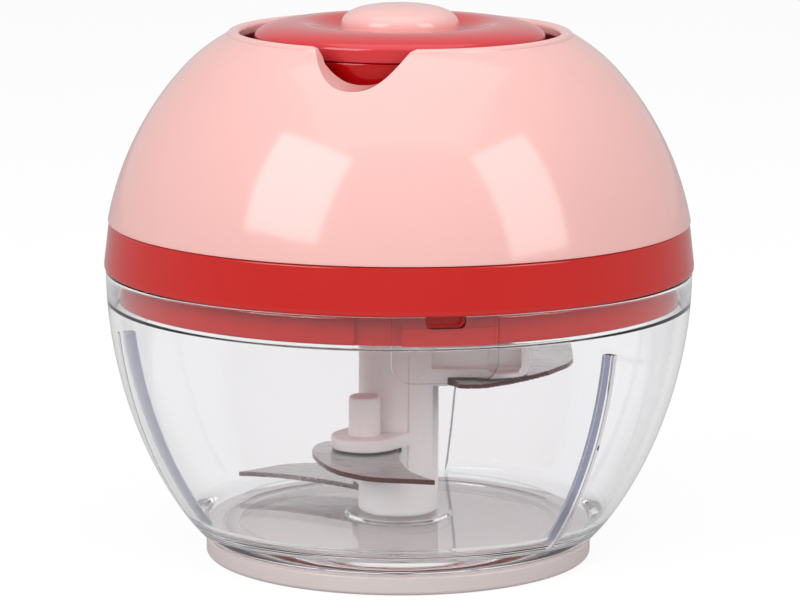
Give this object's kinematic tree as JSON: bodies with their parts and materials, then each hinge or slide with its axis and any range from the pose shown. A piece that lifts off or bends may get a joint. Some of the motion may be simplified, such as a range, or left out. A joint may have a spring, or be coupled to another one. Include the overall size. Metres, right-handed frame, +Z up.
{
  "type": "garlic chopper",
  "caption": "Round hand-pulled garlic chopper: clear bowl, bladed centre post, domed lid with a pull handle on a recoil cord.",
  "frame": {"origin": "under the middle of the foot, on the surface that the chopper stands on", "axes": "+Z up along the blade post; -Y toward the front, where the finger notch is; +X to the right"},
  "size_m": [0.12, 0.12, 0.1131],
  "materials": {
    "clear_plastic": "clear moulded plastic",
    "pale_rubber": "pale translucent rubber",
    "pale_nylon": "pale moulded plastic",
    "blade_steel": "ground steel",
    "plain_steel": "plain steel",
    "spring_steel": "blue-grey spring strip",
    "red_plastic": "glossy red",
    "handle_red": "glossy light red",
    "pink_plastic": "glossy pink",
    "white_acetal": "white engineering plastic",
    "black_nylon": "black engineering plastic",
    "cord": "braided cord"
  },
  "bodies": {
    "bowl_body": {"bowl": "clear_plastic", "foot_pad": "pale_rubber", "pivot_pin": "plain_steel"},
    "blade_body": {"blade_post": "pale_nylon", "lower_blade": "blade_steel", "middle_blade": "blade_steel", "upper_blade": "blade_steel"},
    "lid_body": {"lid_base": "red_plastic", "dome_cover": "pink_plastic", "mechanism_housing": "red_plastic", "return_spring": "spring_steel", "pull_cord": "cord", "cord_guide": "plain_steel", "cord_eyelet": "plain_steel", "dome_screw_1": "plain_steel", "dome_screw_2": "plain_steel", "dome_screw_3": "plain_steel", "housing_screw_1": "plain_steel", "housing_screw_2": "plain_steel", "housing_screw_3": "plain_steel", "housing_screw_4": "plain_steel"},
    "spool_body": {"cord_spool": "white_acetal", "spring_cover": "plain_steel"},
    "coupler_body": {"drive_coupler": "white_acetal", "clutch_plate": "black_nylon", "clutch_washer": "plain_steel", "coupler_screw": "plain_steel"},
    "handle_body": {"pull_handle": "handle_red", "handle_cap": "pink_plastic", "knot_washer": "plain_steel", "cord_knot": "cord", "pull_cord_tail": "cord"}
  },
  "joints": [
    {"name": "lid_lift", "type": "slide", "parent": "bowl_body", "child": "lid_body", "axis": [0, 0, 1], "range_m": [0, 0.08]},
    {"name": "handle_pull", "type": "slide", "parent": "lid_body", "child": "handle_body", "axis": [0, 0, 1], "range_m": [0, 0.3], "stiffness_N_per_m": 25, "springref_m": -0.08, "deforming": ["pull_cord_tail"]},
    {"name": "spool_spin", "type": "hinge", "parent": "lid_body", "child": "spool_body", "pos_m": [0, 0, 0.07], "axis": [0, 0, 1], "range_deg": [-950, 0]},
    {"name": "coupler_spin", "type": "hinge", "parent": "lid_body", "child": "coupler_body", "pos_m": [0, 0, 0.07], "axis": [0, 0, 1], "range_deg": [-950, 0]},
    {"name": "blade_spin", "type": "hinge", "parent": "bowl_body", "child": "blade_body", "pos_m": [0, 0, 0.02], "axis": [0, 0, 1], "range_deg": [-950, 0]}
  ],
  "couplings": [
    {"joint": "spool_spin", "follows": "handle_pull", "rad_per_m": -54.945},
    {"joint": "coupler_spin", "follows": "handle_pull", "rad_per_m": -54.945},
    {"joint": "blade_spin", "follows": "handle_pull", "rad_per_m": -54.945}
  ]
}
